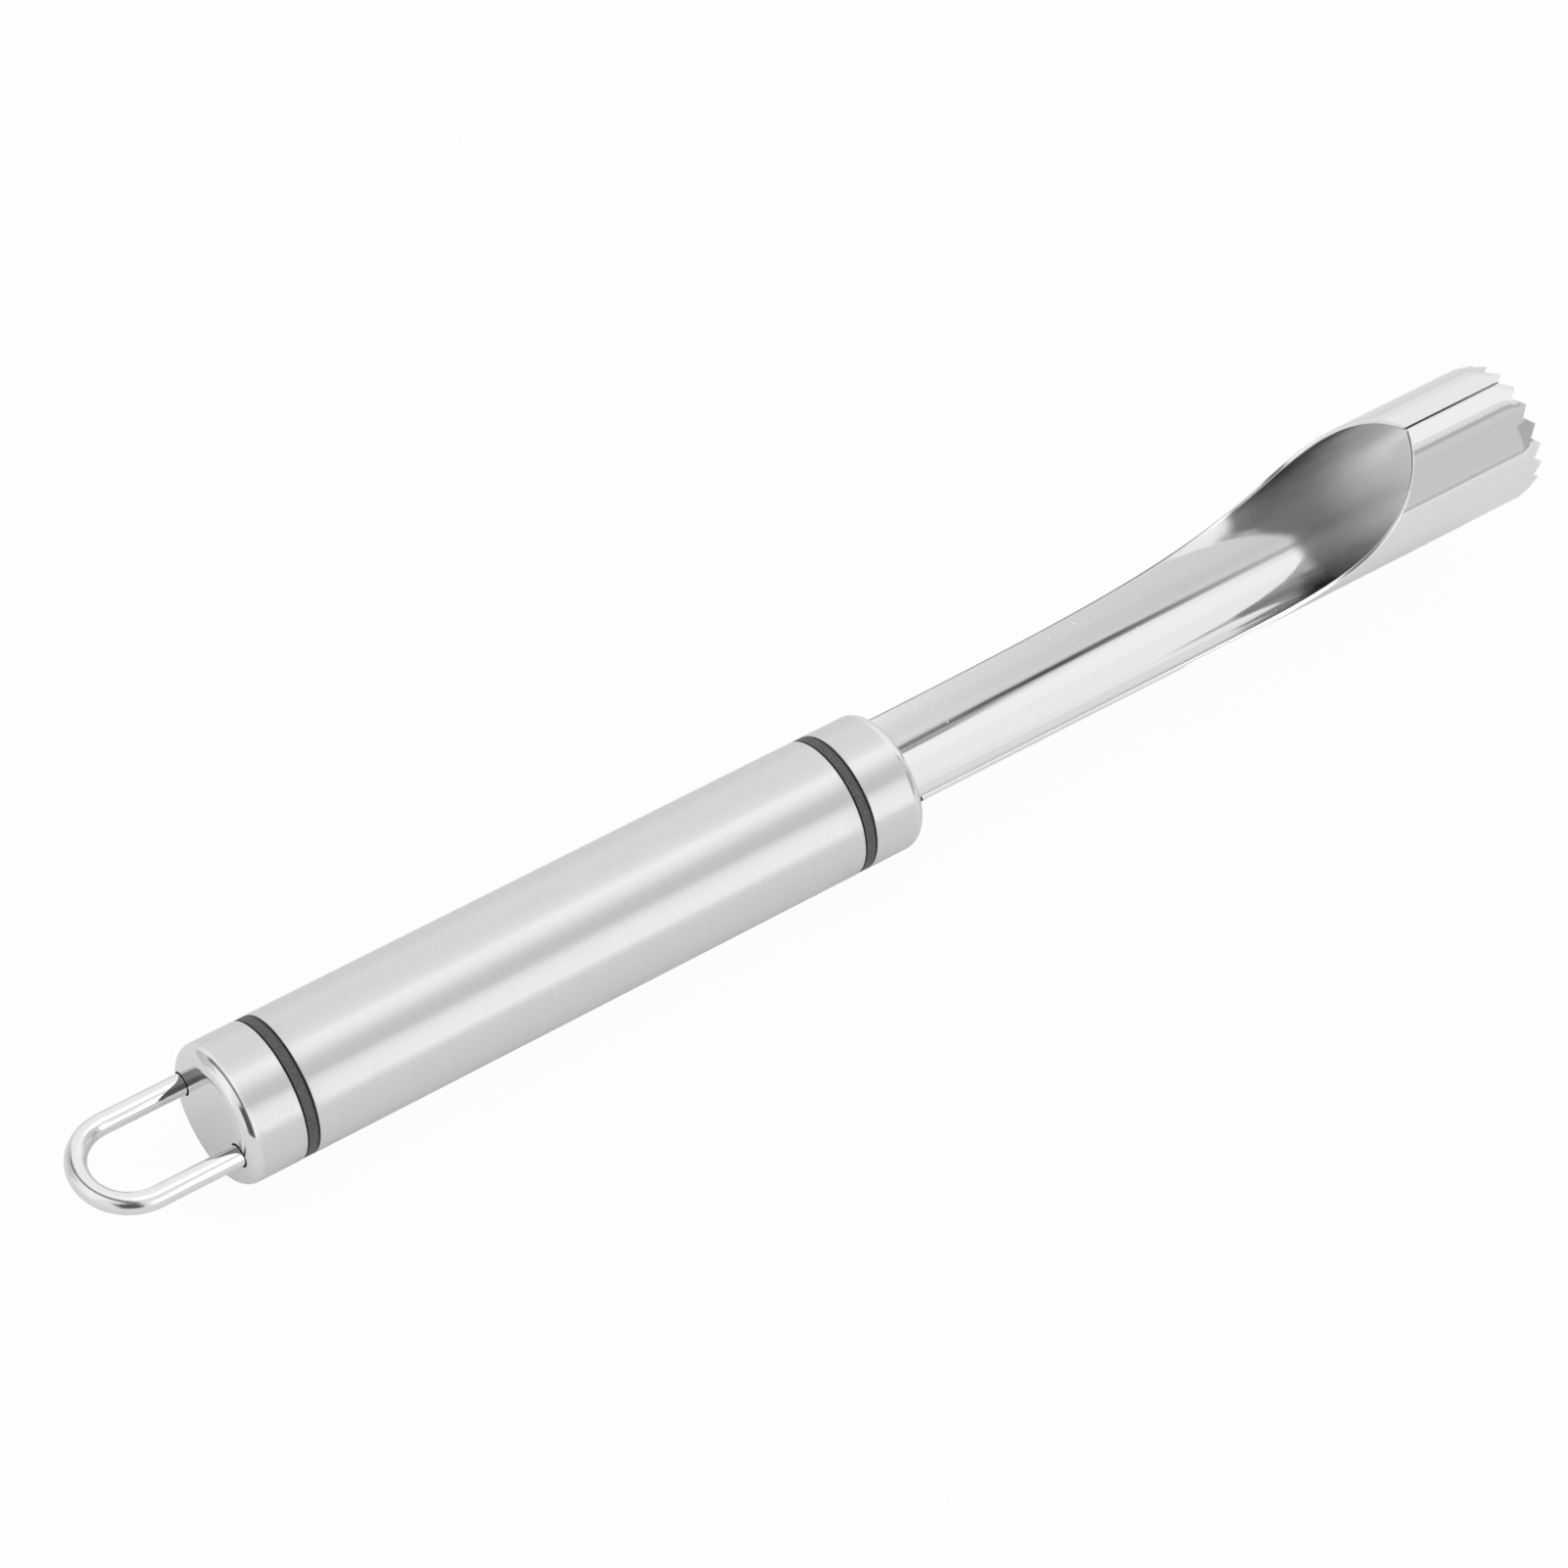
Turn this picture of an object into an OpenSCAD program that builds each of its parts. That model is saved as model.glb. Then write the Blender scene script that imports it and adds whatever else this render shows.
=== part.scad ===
// Apple corer: a round hollow handle with a hanging loop, and a rolled, toothed, half-open blade.
// The handle runs along X from the loop to the blade, the blade's seam is on top, and the handle
// lies on Z = 0. The origin is under the middle of the overall length.

/* [Handle] */
// Outer diameter of the handle
handle_d = 20; // [18:0.1:24]
// Sheet thickness of the handle tube, the rear cap and the front collar
handle_wall = 0.6; // [0.4:0.05:0.8]
// Length of the handle tube between the two rings
tube_len = 86.8; // [60:0.1:120]
// Length of the rear cap
cap_len = 8.5; // [7:0.05:12]
// Length of the front collar
collar_len = 8.45; // [7:0.05:12]
// Radius of the rounded shoulders of the cap and the collar
shoulder_r = 2; // [1.2:0.1:3]
// Small chamfer on the open edges of the tube, the cap, the collar and the rings
edge_break = 0.12; // [0.05:0.01:0.25]
// Width of each ring
ring_w = 1.75; // [1:0.05:3]
// Open joint on each side of a ring
ring_gap = 0.1; // [0.05:0.01:0.2]

/* [Inserts] */
// How far the rear insert reaches into the handle tube
rear_reach = 14; // [10:0.5:25]
// How far the front insert reaches into the handle tube
front_reach = 18; // [14:0.5:25]
// Glue gap round the inserts
glue_gap = 0.05; // [0.02:0.01:0.1]
// Width of the glue grooves round the inserts
groove_w = 1.2; // [0.6:0.1:2]
// Depth of the glue grooves
groove_depth = 0.4; // [0.2:0.05:0.8]
// Distance from the end of the tube or the cap to the nearest glue groove
groove_inset = 2.4; // [1.5:0.1:4]
// Wall between the moulded hollow in the rear insert and the holes for the loop's legs
core_wall = 1.17; // [0.8:0.01:2]
// Floor left behind the moulded hollow
core_floor = 2; // [1:0.1:4]

/* [Hanging loop] */
// Diameter of the loop's wire
wire_d = 3; // [2:0.1:3.2]
// Distance from the side of the handle in to the middle of each of the loop's two legs
leg_inset = 3.1; // [2.9:0.1:3.6]
// Distance from the end of the cap to the outer end of the loop
loop_reach = 20.4; // [14:0.1:40]
// Clearance round the legs in the cap's two holes
leg_gap = 0.25; // [0.1:0.05:0.35]
// Thickness of the plate that holds the legs
plate_t = 1.2; // [0.8:0.1:2]
// Gap between the plate and the bore of the tube
plate_gap = 0.15; // [0.1:0.05:0.3]
// Diameter of the riveted heads on the ends of the legs
head_d = 4.2; // [3.8:0.1:4.4]
// Height of the riveted heads
head_h = 0.9; // [0.6:0.1:1.5]

/* [Blade] */
// Outer diameter of the rolled cutting tube
blade_d = 20.4; // [18:0.1:21]
// Sheet thickness of the blade
blade_t = 0.6; // [0.4:0.05:0.8]
// Length of the blade from the collar's face to the tips of the teeth
blade_len = 108.05; // [90:0.05:140]
// Length of the closed tube, where the two edges of the sheet meet in a seam
seam_len = 18.9; // [12:0.1:40]
// Depth of the blade's underside below the axis of the handle
blade_drop = 1.15; // [0.5:0.05:2]
// Angle from the bottom of the trough to its edge, at the collar
root_angle = 50.8; // [40:0.1:54]
// Length over which the trough's edges rise into the scoop
scoop_reach = 12.1; // [8:0.1:16]
// Width of the open seam
slit_w = 0.3; // [0.15:0.05:0.6]
// Rounding of the sheet's two corners where the seam opens into the scoop
flap_round = 0.6; // [0.3:0.1:1]

/* [Teeth] */
// Number of teeth round the cutting edge
tooth_count = 20; // [14:1:28]
// Height of a tooth
tooth_h = 1.75; // [1:0.05:2.5]
// Length of the bevel ground on the outside of the teeth
bevel_len = 2.6; // [2:0.1:4]
// Thickness left at the tips of the teeth
edge_t = 0.06; // [0.04:0.01:0.15]

/* [Tang] */
// Angle from the middle of the tang to its edge, seen along the blade
tang_angle = 38; // [30:1:39]
// Length of the tang behind the collar's face
tang_len = 24; // [21:0.5:26]
// Clearance round the tang in the collar and in the front insert
tang_gap = 0.12; // [0.05:0.01:0.2]
// Gap between the blade's two shoulders and the collar's face
seat_gap = 0.05; // [0.02:0.01:0.1]
// Diameter of the cross pin
pin_d = 3; // [2:0.1:4]
// Clearance round the cross pin and round the loop's legs in the inserts
fit_gap = 0.03; // [0.02:0.01:0.08]
// Distance from the end of the tang to the middle of the cross pin
pin_inset = 6; // [5:0.5:8]
// Depth of the pin's ends below the surface of the insert
pin_recess = 0.4; // [0.2:0.1:1]

/* [Hidden] */
$fn = 96;
// All cuts run past the surface that they open by this much
overrun = 1;

handle_r = handle_d / 2;
bore_r = handle_r - handle_wall;
insert_r = bore_r - glue_gap;
inner_shoulder_r = shoulder_r - handle_wall;
wire_r = wire_d / 2;
leg_y = handle_r - leg_inset;
core_r = leg_y - wire_r - fit_gap - core_wall;
pin_r = pin_d / 2;
blade_r = blade_d / 2;
blade_bore_r = blade_r - blade_t;
axis_z = blade_r - blade_drop;

// Places along the handle's axis, counted from the mouth of the rear cap
cap_end_x = -cap_len;
loop_end_x = cap_end_x - loop_reach;
bend_x = loop_end_x + wire_r + leg_y;
rear_ring_x = ring_gap;
tube_x = rear_ring_x + ring_w + ring_gap;
tube_end_x = tube_x + tube_len;
front_ring_x = tube_end_x + ring_gap;
collar_x = front_ring_x + ring_w + ring_gap;
face_x = collar_x + collar_len;
rear_insert_x = cap_end_x + handle_wall + glue_gap;
rear_insert_end_x = tube_x + rear_reach;
plate_end_x = rear_insert_end_x + plate_t;
front_insert_x = tube_end_x - front_reach;
front_insert_end_x = face_x - handle_wall - glue_gap;
root_x = face_x + seat_gap;
tang_end_x = face_x - tang_len;
pin_x = tang_end_x + pin_inset;
tip_x = face_x + blade_len;
seam_x = tip_x - seam_len;
middle_x = (loop_end_x + tip_x) / 2;

steel = [0.80, 0.80, 0.79];
polished = [0.90, 0.90, 0.90];
dark_rubber = [0.30, 0.30, 0.30];
nylon = [0.15, 0.15, 0.16];
zinc = [0.66, 0.67, 0.68];

// The scoop's edge: how far the sheet reaches round the tube, as an angle from its bottom, at a
// distance s behind the start of the seam. It falls from a closed tube towards the trough.
edge_share = 0.88;
function sheet_angle(s) =
    root_angle + (180 - root_angle) * exp(-pow(s / scoop_reach, edge_share));
// Half width of the opening along the sheet, with the two rounded corners of the seam
function corner_width(s) =
    s < 0 ? flap_round / 2 * pow(1 + s / flap_round, 2) : flap_round / 2 * exp(-2 * s / flap_round);
function opening_angle(s) =
    (s > 0 ? 180 - sheet_angle(s) : 0)
    + (slit_w / 4 + corner_width(s)) / blade_bore_r * 180 / PI;

// Puts a piece that is built on the handle's axis into the part's own frame
module in_place() {
    translate([-middle_x, 0, handle_r]) children();
}

// Turns a piece that is built up along Z so that it runs along X from x
module along_x(x) {
    translate([x, 0, 0]) rotate([0, 90, 0]) children();
}

// Half of the outline of a round plug with one rounded end at 0
module round_end_outline(r, len, round_r) {
    square([r - round_r, len]);
    translate([0, round_r]) square([r, len - round_r]);
    translate([r - round_r, round_r]) circle(r = round_r);
}

// A drawn cup with its closed end at 0 and its open mouth at len
module cup(len) {
    rotate_extrude() difference() {
        round_end_outline(handle_r, len, shoulder_r);
        translate([0, handle_wall])
            round_end_outline(bore_r, len - handle_wall + overrun, inner_shoulder_r);
        polygon([
            [handle_r - edge_break, len], [handle_r, len - edge_break],
            [handle_r + overrun, len - edge_break], [handle_r + overrun, len + overrun],
            [handle_r - edge_break, len + overrun]
        ]);
    }
}

// A straight piece of tube, or a ring, with small chamfers on its outer edges
module sleeve(len) {
    rotate_extrude() polygon([
        [bore_r, 0], [handle_r - edge_break, 0], [handle_r, edge_break],
        [handle_r, len - edge_break], [handle_r - edge_break, len], [bore_r, len]
    ]);
}

// A glue groove round an insert, with its middle at 0
module glue_groove() {
    translate([0, 0, -groove_w / 2]) rotate_extrude()
        translate([insert_r - groove_depth, 0]) square([groove_depth + overrun, groove_w]);
}

// The two legs of the loop, or the holes for them, from x0 to x1
module legs(r, x0, x1) {
    for (side = [-1, 1])
        translate([0, side * leg_y, 0]) along_x(x0) cylinder(r = r, h = x1 - x0);
}

// A wedge round the axis of the blade that takes in everything within half_angle of the bottom
module wedge(x0, x1, half_angle) {
    reach = blade_r + overrun;
    along_x(x0) linear_extrude(x1 - x0) polygon([
        [0, 0],
        [reach * cos(half_angle), reach * sin(half_angle)],
        [reach / cos(half_angle / 2), reach * tan(half_angle / 2)],
        [reach / cos(half_angle / 2), -reach * tan(half_angle / 2)],
        [reach * cos(half_angle), -reach * sin(half_angle)]
    ]);
}

// A strip of the blade's rolled sheet, grown by gap on every side, from x0 to x1
module sheet_strip(x0, x1, half_angle, gap) {
    translate([0, 0, axis_z]) intersection() {
        along_x(x0) difference() {
            cylinder(r = blade_r + gap, h = x1 - x0);
            translate([0, 0, -overrun])
                cylinder(r = blade_bore_r - gap, h = x1 - x0 + overrun * 2);
        }
        wedge(x0 - overrun, x1 + overrun, half_angle + gap / blade_r * 180 / PI);
    }
}

// The cross pin, or the hole for it
module pin_solid(gap, half_len) {
    translate([pin_x, 0, -half_len]) cylinder(r = pin_r + gap, h = half_len * 2);
}

// What is cut from the rolled tube to open the scoop and the trough. It is built of slices
// across the blade, each a pie slice about the axis with its middle on top.
slice_count = 34;
corner_slices = 4;
arc_steps = 12;
slice_spread = 1.8;
// Radius of the slices as a share of the blade's, so that their straight sides stay outside it
slice_reach_share = 1.3;
cut_len = seam_x - root_x + overrun;
slice_s = concat(
    [for (i = [0 : corner_slices - 1]) -flap_round + flap_round * i / corner_slices],
    [for (i = [0 : slice_count]) cut_len * pow(i / slice_count, slice_spread)]
);
function slice_points(s) = let (a = opening_angle(s), r = blade_r * slice_reach_share) concat(
    [[seam_x - s, 0, 0]],
    [for (j = [0 : arc_steps]) let (b = a * (2 * j / arc_steps - 1))
        [seam_x - s, r * sin(b), r * cos(b)]]
);
slice_size = arc_steps + 2;
last_slice = len(slice_s) - 1;
module scoop_cut() {
    points = [for (s = slice_s) each slice_points(s)];
    sides = [for (k = [0 : last_slice - 1], i = [0 : slice_size - 1])
        let (a = k * slice_size + i, b = k * slice_size + (i + 1) % slice_size)
        each [[a, b + slice_size, b], [a, a + slice_size, b + slice_size]]];
    ends = [for (j = [1 : arc_steps]) each [
        [0, j, j + 1],
        [last_slice * slice_size, last_slice * slice_size + j + 1, last_slice * slice_size + j]
    ]];
    polyhedron(points = points, faces = concat(sides, ends));
}

// One notch between two teeth, cut down from the top of the tube
module tooth_notch() {
    half_w = blade_bore_r * tan(180 / tooth_count);
    run = (tooth_h + overrun) / tooth_h;
    translate([tip_x - tooth_h, 0, blade_bore_r - overrun])
        linear_extrude(blade_t + overrun * 2)
            polygon([[0, 0], [tooth_h * run, -half_w * run], [tooth_h * run, half_w * run]]);
}

module hanging_loop() {
    color(polished) in_place() {
        legs(wire_r, bend_x, plate_end_x);
        legs(head_d / 2, plate_end_x, plate_end_x + head_h);
        translate([bend_x, 0, 0]) rotate([0, 0, 90]) rotate_extrude(angle = 180)
            translate([leg_y, 0]) circle(r = wire_r);
    }
}

module loop_plate() {
    color(zinc) in_place() difference() {
        along_x(rear_insert_end_x) cylinder(r = bore_r - plate_gap, h = plate_t);
        along_x(rear_insert_end_x - overrun) cylinder(r = core_r, h = plate_t + overrun * 2);
        legs(wire_r + fit_gap, rear_insert_end_x - overrun, plate_end_x + overrun);
    }
}

module rear_cap() {
    color(steel) in_place() difference() {
        along_x(cap_end_x) cup(cap_len);
        legs(wire_r + leg_gap, cap_end_x - overrun, cap_end_x + handle_wall + shoulder_r);
    }
}

module rear_ring() {
    color(dark_rubber) in_place() along_x(rear_ring_x) sleeve(ring_w);
}

module rear_insert() {
    insert_len = rear_insert_end_x - rear_insert_x;
    color(nylon) in_place() difference() {
        along_x(rear_insert_x) rotate_extrude()
            round_end_outline(insert_r, insert_len, inner_shoulder_r - glue_gap);
        along_x(rear_insert_x + core_floor) cylinder(r = core_r, h = insert_len);
        legs(wire_r + fit_gap, rear_insert_x - overrun, rear_insert_end_x + overrun);
        along_x(-groove_inset) glue_groove();
        along_x(tube_x + groove_inset) glue_groove();
        along_x(rear_insert_end_x - groove_inset) glue_groove();
    }
}

module handle_tube() {
    color(steel) in_place() along_x(tube_x) sleeve(tube_len);
}

module front_ring() {
    color(dark_rubber) in_place() along_x(front_ring_x) sleeve(ring_w);
}

module front_insert() {
    color(nylon) in_place() difference() {
        translate([front_insert_end_x, 0, 0]) rotate([0, -90, 0]) rotate_extrude()
            round_end_outline(insert_r, front_insert_end_x - front_insert_x,
                inner_shoulder_r - glue_gap);
        sheet_strip(tang_end_x - tang_gap, front_insert_end_x + overrun, tang_angle, tang_gap);
        pin_solid(fit_gap, handle_r);
        along_x(front_insert_x + groove_inset) glue_groove();
        along_x(tube_end_x - groove_inset) glue_groove();
        along_x(collar_x + groove_inset) glue_groove();
    }
}

module tang_pin() {
    color(zinc) in_place() pin_solid(0, insert_r - pin_recess);
}

module front_collar() {
    color(steel) in_place() difference() {
        translate([face_x, 0, 0]) rotate([0, -90, 0]) cup(collar_len);
        sheet_strip(face_x - handle_wall - overrun, face_x + overrun, tang_angle, tang_gap);
    }
}

module corer_blade() {
    back = tang_end_x - overrun;
    color(polished) in_place() difference() {
        translate([0, 0, axis_z]) difference() {
            along_x(0) rotate_extrude() polygon([
                [blade_bore_r, tang_end_x], [blade_r, tang_end_x], [blade_r, tip_x - bevel_len],
                [blade_bore_r + edge_t, tip_x], [blade_bore_r, tip_x]
            ]);
            scoop_cut();
            // Everything beside the tang
            rotate([180, 0, 0]) wedge(back, root_x, 180 - tang_angle);
            // The open seam
            translate([seam_x - flap_round, -slit_w / 2, 0])
                cube([seam_len + flap_round + overrun, slit_w, blade_r + overrun]);
            for (i = [0 : tooth_count - 1]) rotate([i * 360 / tooth_count, 0, 0]) tooth_notch();
        }
        pin_solid(fit_gap, handle_r);
    }
}

hanging_loop();
loop_plate();
rear_cap();
rear_ring();
rear_insert();
handle_tube();
front_ring();
front_insert();
tang_pin();
front_collar();
corer_blade();
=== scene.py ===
"""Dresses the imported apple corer: meshes, materials, studio and camera."""

import math
from collections import namedtuple

import bpy
from mathutils import Matrix, Vector


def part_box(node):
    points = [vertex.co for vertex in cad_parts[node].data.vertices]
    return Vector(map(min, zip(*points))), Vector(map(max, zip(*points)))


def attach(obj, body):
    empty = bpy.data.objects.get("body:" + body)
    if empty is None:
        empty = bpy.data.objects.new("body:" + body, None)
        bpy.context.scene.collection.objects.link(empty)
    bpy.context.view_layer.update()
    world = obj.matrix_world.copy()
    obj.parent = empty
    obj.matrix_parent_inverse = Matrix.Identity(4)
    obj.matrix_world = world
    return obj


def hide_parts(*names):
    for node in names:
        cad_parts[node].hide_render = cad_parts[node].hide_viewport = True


bl_info = {
    "name": "Apple Corer",
    "version": (1, 0, 0),
    "blender": (4, 5, 0),
    "location": "3D View > Sidebar > Corer",
    "description": "Builds an apple corer with a hollow handle and a toothed blade",
    "category": "Object",
}

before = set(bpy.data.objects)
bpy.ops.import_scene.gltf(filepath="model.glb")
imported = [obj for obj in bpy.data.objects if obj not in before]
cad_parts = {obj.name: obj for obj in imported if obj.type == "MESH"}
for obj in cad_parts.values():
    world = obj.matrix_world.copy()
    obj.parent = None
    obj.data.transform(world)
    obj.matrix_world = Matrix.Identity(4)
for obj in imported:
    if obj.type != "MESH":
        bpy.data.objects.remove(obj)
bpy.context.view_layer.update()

TUBE_LOW, TUBE_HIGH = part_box("handle_tube")
CAP_LOW, CAP_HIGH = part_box("rear_cap")
COLLAR_LOW, COLLAR_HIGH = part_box("front_collar")
LOOP_LOW, LOOP_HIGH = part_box("hanging_loop")
BLADE_LOW, BLADE_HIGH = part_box("corer_blade")
HANDLE_Z = (TUBE_LOW.z + TUBE_HIGH.z) / 2
HEAD_RADIUS = (LOOP_HIGH.z - LOOP_LOW.z) / 2
LEG_Y = LOOP_HIGH.y - HEAD_RADIUS
LEG_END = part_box("loop_plate")[1].x
BLADE_RADIUS = BLADE_HIGH.y
BLADE_Z = BLADE_HIGH.z - BLADE_RADIUS

# Edges sharper than this stay sharp
CREASE = math.radians(35)

# Lengths in metres that the meshes use
SLOT_GAP = 0.00012
CUTTER_REACH = 0.001
ROOT_GAP = 0.00005
ROOT_STEP = 0.00002

# In the meshes: how the scoop rises, the most that an edge's rounding is drawn out, how far the columns keep from the
# edge, the share of a thickness that one rounding may take, and a ring's rounding
SCOOP_POWER = 0.88
STEEPEST_EDGE = 6.0
EDGE_MARGIN = 2.2
COLUMN_MARGIN = 1.3
ROUNDING_SHARE = 0.45
RING_EDGE = 1.6

# Counts of points and rows in the meshes
TURN_STEPS = 192
TUBE_PARTS = 40
RING_PARTS = 6
WIRE_STEPS = 64
LEG_PARTS = 30
BEND_PARTS = 64
EDGE_STEPS = 4
INNER_EDGE_STEPS = 2
SHOULDER_STEPS = 14
INNER_SHOULDER_STEPS = 8
CUP_PARTS = 8
FLAT_PARTS = 5
TANG_ROWS = 12
SCOOP_ROWS = 110
CORNER_ROWS = 8
TUBE_ROWS = 12
COLUMNS_PER_TOOTH = 8
RIM_STEPS = 3
BEVEL_STEPS = 4

# A riveted head, as shares of its height and of its radius
HEAD_PROFILE = ((1.0, 0.0), (1.0, 0.75), (0.8, 0.93), (0.5, 1.0), (0.0, 1.0))

# The usual range of a noise, and the cells of a pattern that hold a speck
NOISE_LOW, NOISE_HIGH = 0.3, 0.7
SPECK_CELLS = (0.80, 0.82)

# Roughness of the steel from its smoothest to its roughest place
SATIN_ROUGHNESS = (0.35, 0.43)
POLISHED_ROUGHNESS = (0.03, 0.09)
BEND_ROUGHNESS = (0.10, 0.24)

# How much smoother a shoulder is, how much rougher three places of the blade are, and how rough a pit is
SHOULDER_POLISH = 0.27
INSIDE_ROUGHNESS = 0.03
DULL_ROUGHNESS = 0.15
LIP_ROUGHNESS = 0.16
PIT_ROUGHNESS = 0.45

# Depth of the steel's marks, the blend from satin to a polished shoulder, and a distance past every piece, in metres
BRUSH_DEPTH = 0.0000015
DRAWN_DEPTH = 0.000004
SHOULDER_BLEND = 0.0006
FAR_OFF = 1.0

# Bands of the blade across the part, in metres. The near side is the camera's, below zero.
STEEP_WALL = (0.0045, 0.0075)
NEAR_WALL = (-0.0035, -0.005)
NEAR_LIP = (-0.0065, -0.0071)
FAR_LIP = (0.0072, 0.008)
LIT_NEAR = (-0.0025, -0.0048)
LIT_FAR = (0.0, 0.002)
DARK_TIP_SIDE = (0.0, -0.003)
CUT_ACROSS = (0.004, 0.005)
ROOT_CORNER = (0.0068, 0.0070)
SEAM_EDGE = (0.00004, 0.00001)

# Bands above the blade's axis, and away from it
LIT_FAR_ABOVE = (-0.0003, 0.0025)
DARK_TIP_ABOVE = (-0.003, -0.001)
CUT_INNER = (0.00962, 0.00967)
CUT_OUTER = (0.01020, 0.01015)

# Places along the blade: the dull zone, which also holds painted shade, from the seam's start, the next five from the
# dull zone's start, the root's painted shade from the collar, and the fading of the seam's painted shade from the tips
# of the teeth
DULL_ZONE = (-0.0155, 0.012)
DULL_EDGE = (0.0003, 0.0032)
TROUGH_END = (0.001, -0.005)
CUT_ALONG = (-0.006, -0.020)
DARK_TIP = (0.006, 0.015)
FADE_START = 0.011
ROOT_MARK = (0.00065, 0.0005)
SEAM_FADE = (-0.012, -0.003)

# How much sooner the walls, the far wall and the far lip turn dull and take painted shade, in metres
WALL_REACH = 0.0018
FAR_WALL_REACH = 0.0035
FAR_LIP_REACH = 0.0036

# Bands of the painted shade in the grooves beside the rings, from a ring's two faces
GROOVE_AHEAD = (-0.00034, -0.00024)
GROOVE_BEHIND = (0.00020, 0.00012)

# Tones and greys of the blade's painted light and shade: painted light on its steep inner walls, painted shade on its
# near wall, its far cut edge, the root's corners and the seam. Then, as shares of the dull colour, the dull zone's
# painted-shade dark tip, its plain floor and its painted-light walls
WALL_PAINTED_LIGHT = (0.94, 0.94, 0.935, 1.0)
NEAR_WALL_PAINTED_SHADE = (0.82, 0.82, 0.815, 1.0)
CUT_EDGE_PAINTED_SHADE = 0.30
ROOT_PAINTED_SHADE = 0.10
SEAM_PAINTED_SHADE = 0.08
DARK_TIP_SHADE_SHARE = 0.60
PLAIN_SHARE = 0.88
PAINTED_LIGHT_SHARE = 1.6

Spot = namedtuple("Spot", "along across above distance")


def length_field(name, description, default, least):
    return bpy.props.FloatProperty(name=name, description=description, default=default, min=least, unit="LENGTH")


def angle_field(name, description, degrees):
    default = math.radians(degrees)
    return bpy.props.FloatProperty(name=name, description=description, default=default, subtype="ANGLE")


def colour_field(name, description, default):
    return bpy.props.FloatVectorProperty(name=name, description=description, default=default, subtype="COLOR", size=3)


class CorerHandleSizes(bpy.types.PropertyGroup):
    """Sizes of the handle, its two end pieces, its rings and its loop."""

    radius: length_field("Handle Radius", "Outer radius of the handle", TUBE_HIGH.y, 0.008)
    wall: length_field("Wall", "Sheet thickness of the tube, the cap and the collar", 0.0006, 0.0003)
    shoulder: length_field("Shoulder", "Radius of the rounded shoulders of the cap and the collar", 0.002, 0.001)
    edge: length_field("Edge", "Rounding of the open edges of the tube, the cap and the collar", 0.00012, 0.00002)
    ring_sink: length_field("Ring Sink", "How far the rings lie below the surface of the tube", 0.00004, 0.0)
    wire_radius: length_field("Wire Radius", "Radius of the wire of the hanging loop", 0.0015, 0.001)
    leg_gap: length_field("Leg Gap", "Clearance round the legs in the holes of the rear cap", 0.00025, 0.00005)


class CorerBladeSizes(bpy.types.PropertyGroup):
    """Sizes of the rolled sheet, its scoop, its seam and its teeth."""

    sheet: length_field("Sheet", "Thickness of the blade's sheet", 0.0006, 0.0003)
    seam: length_field("Seam", "Length of the closed tube", 0.0189, 0.005)
    slit: length_field("Slit", "Width of the open seam", 0.0003, 0.0001)
    trough_angle: angle_field("Trough Angle", "Angle from the bottom of the trough to its edge at the collar", 50.8)
    tang_angle: angle_field("Tang Angle", "Angle from the middle of the tang to its edge", 38)
    scoop_reach: length_field("Scoop Reach", "Length over which the trough's edges rise into the scoop", 0.0121, 0.005)
    corner: length_field("Corner", "Rounding of the sheet's corners where the seam opens", 0.0006, 0.0002)
    teeth: bpy.props.IntProperty(
        name="Teeth", description="Number of teeth round the cutting edge", default=20, min=8, max=40
    )
    tooth_height: length_field("Tooth Height", "Height of a tooth", 0.00175, 0.0005)
    bevel: length_field("Bevel", "Length of the bevel ground on the outside of the teeth", 0.0026, 0.0005)
    tip: length_field("Tip", "Thickness left at the tips of the teeth", 0.00006, 0.00002)
    edge: length_field("Edge", "Rounding of the sheet's edges", 0.00012, 0.00002)


class CorerFinish(bpy.types.PropertyGroup):
    """Colours of the corer's materials and of the studio."""

    satin: colour_field("Satin Steel", "Colour of the brushed steel of the handle", (0.84, 0.84, 0.835))
    polished: colour_field(
        "Polished Steel", "Colour of the polished steel of the blade and the loop", (0.86, 0.86, 0.855)
    )
    # The bore colour is partly the duller steel itself and partly painted shade inside the scoop and the tube.
    bore: colour_field("Bore", "Colour of the duller steel inside the scoop and the cutting tube", (0.56, 0.56, 0.56))
    ring: colour_field("Ring", "Colour of the two dark rings", (0.10, 0.10, 0.10))
    insert: colour_field("Insert", "Colour of the moulded inserts inside the handle", (0.03, 0.03, 0.03))
    plated: colour_field("Plated Steel", "Colour of the plate and the pin inside the handle", (0.60, 0.60, 0.59))
    floor: colour_field("Floor", "Colour of the studio floor", (0.92, 0.92, 0.92))


# Shader nodes


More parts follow.
